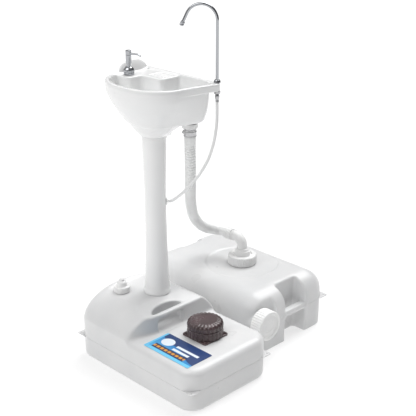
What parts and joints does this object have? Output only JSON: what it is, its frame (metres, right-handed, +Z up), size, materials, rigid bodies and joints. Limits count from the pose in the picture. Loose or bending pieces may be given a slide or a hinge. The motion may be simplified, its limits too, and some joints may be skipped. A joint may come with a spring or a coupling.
{
  "type": "portable handwash sink",
  "caption": "Portable handwash sink: basin with gooseneck faucet and soap pump on a pedestal, a fresh-water base tank with a foot pump, and a separate waste tank on a drain hose.",
  "frame": {"origin": "On the floor, on the axis of the pedestal, in the plane both tanks stand on", "axes": "+X is the user's right, towards the foot pump; +Y is away from the user, towards the waste tank; +Z is up"},
  "size_m": [0.555, 0.641, 0.9697],
  "materials": {
    "tank_white": "blow-moulded polyethylene, soft sheen",
    "cap_white": "injection-moulded plastic, fine grain",
    "basin_white": "smooth moulded plastic, light gloss",
    "hose_white": "flexible hose, satin",
    "chrome": "bright plated",
    "steel": "brushed",
    "pump_rubber": "dark moulded rubber, slight sheen",
    "seal_rubber": "soft seal",
    "bottle_plastic": "translucent bottle plastic",
    "label_film": "printed film in plain colour blocks"
  },
  "bodies": {
    "stand": {"fresh_tank": "tank_white", "pump_base": "pump_rubber", "pump_bellows": "pump_rubber", "pump_spring": "steel", "pump_body": "cap_white", "inlet_valve": "seal_rubber", "outlet_valve": "seal_rubber", "suction_tube": "cap_white", "suction_strainer": "cap_white", "pump_screw_1": "pump_rubber", "pump_screw_2": "pump_rubber", "pump_screw_3": "pump_rubber", "pump_screw_4": "pump_rubber", "label_plate": "label_film", "pedestal": "basin_white", "hose_grommet": "hose_white", "riser_tube": "hose_white", "basin": "basin_white", "soap_reservoir": "bottle_plastic", "soap_collar": "chrome", "soap_spring": "steel", "faucet_base": "chrome", "faucet_lock_nut": "steel", "faucet_tail": "steel", "supply_hose": "hose_white", "drain_flange": "steel", "drain_gasket": "seal_rubber", "drain_nut": "cap_white", "drain_tail": "cap_white", "hose_clamp": "steel", "clamp_screw": "steel", "drain_hose": "hose_white", "hose_cuff": "hose_white", "waste_elbow": "cap_white", "waste_cap_gasket": "seal_rubber", "waste_tank": "tank_white"},
    "pump_plunger": {"pump_dome": "pump_rubber"},
    "soap_pump": {"soap_plunger": "steel", "soap_dip_tube": "bottle_plastic"},
    "soap_head": {"soap_pump_head": "chrome"},
    "faucet": {"faucet_pipe": "chrome", "faucet_nozzle": "chrome"},
    "fill_seal": {"fill_cap_gasket": "seal_rubber"},
    "fill_lid": {"fill_cap": "cap_white"},
    "drain_seal": {"drain_cap_gasket": "seal_rubber"},
    "drain_lid": {"drain_cap": "cap_white"},
    "waste_nut": {"waste_cap_ring": "cap_white"}
  },
  "joints": [
    {"name": "pump_press", "type": "slide", "parent": "stand", "child": "pump_plunger", "axis": [0, 0, -1], "range_m": [0, 0.02], "stiffness_N_per_m": 700, "springref_m": -0.006, "deforming": ["pump_bellows", "pump_spring"]},
    {"name": "soap_press", "type": "slide", "parent": "stand", "child": "soap_pump", "axis": [0, 0, -1], "range_m": [0, 0.0075], "stiffness_N_per_m": 250, "springref_m": -0.004, "deforming": ["soap_spring"]},
    {"name": "soap_swivel", "type": "hinge", "parent": "soap_pump", "child": "soap_head", "pos_m": [-0.108, 0.013, 0.812], "axis": [0, 0, 1], "range_deg": [-150, 150]},
    {"name": "faucet_swivel", "type": "hinge", "parent": "stand", "child": "faucet", "pos_m": [0.126, 0.104, 0.778], "axis": [0, 0, 1], "range_deg": [-60, 60]},
    {"name": "fill_cap_rise", "type": "slide", "parent": "stand", "child": "fill_seal", "axis": [0, 0, 1], "range_m": [0, 0.012]},
    {"name": "fill_cap_turn", "type": "hinge", "parent": "fill_seal", "child": "fill_lid", "pos_m": [-0.066, -0.071, 0.2], "axis": [0, 0, 1], "range_deg": [0, 720]},
    {"name": "drain_cap_rise", "type": "slide", "parent": "stand", "child": "drain_seal", "axis": [1, 0, 0], "range_m": [0, 0.012]},
    {"name": "drain_cap_turn", "type": "hinge", "parent": "drain_seal", "child": "drain_lid", "pos_m": [0.23, 0.19, 0.091], "axis": [1, 0, 0], "range_deg": [0, 720]},
    {"name": "waste_nut_turn", "type": "hinge", "parent": "stand", "child": "waste_nut", "pos_m": [0.012, 0.329, 0.18], "axis": [0, 0, 1], "range_deg": [0, 300]}
  ],
  "couplings": [
    {"joint": "fill_cap_turn", "follows": "fill_cap_rise", "rad_per_m": 1047.2},
    {"joint": "drain_cap_turn", "follows": "drain_cap_rise", "rad_per_m": 1047.2}
  ]
}
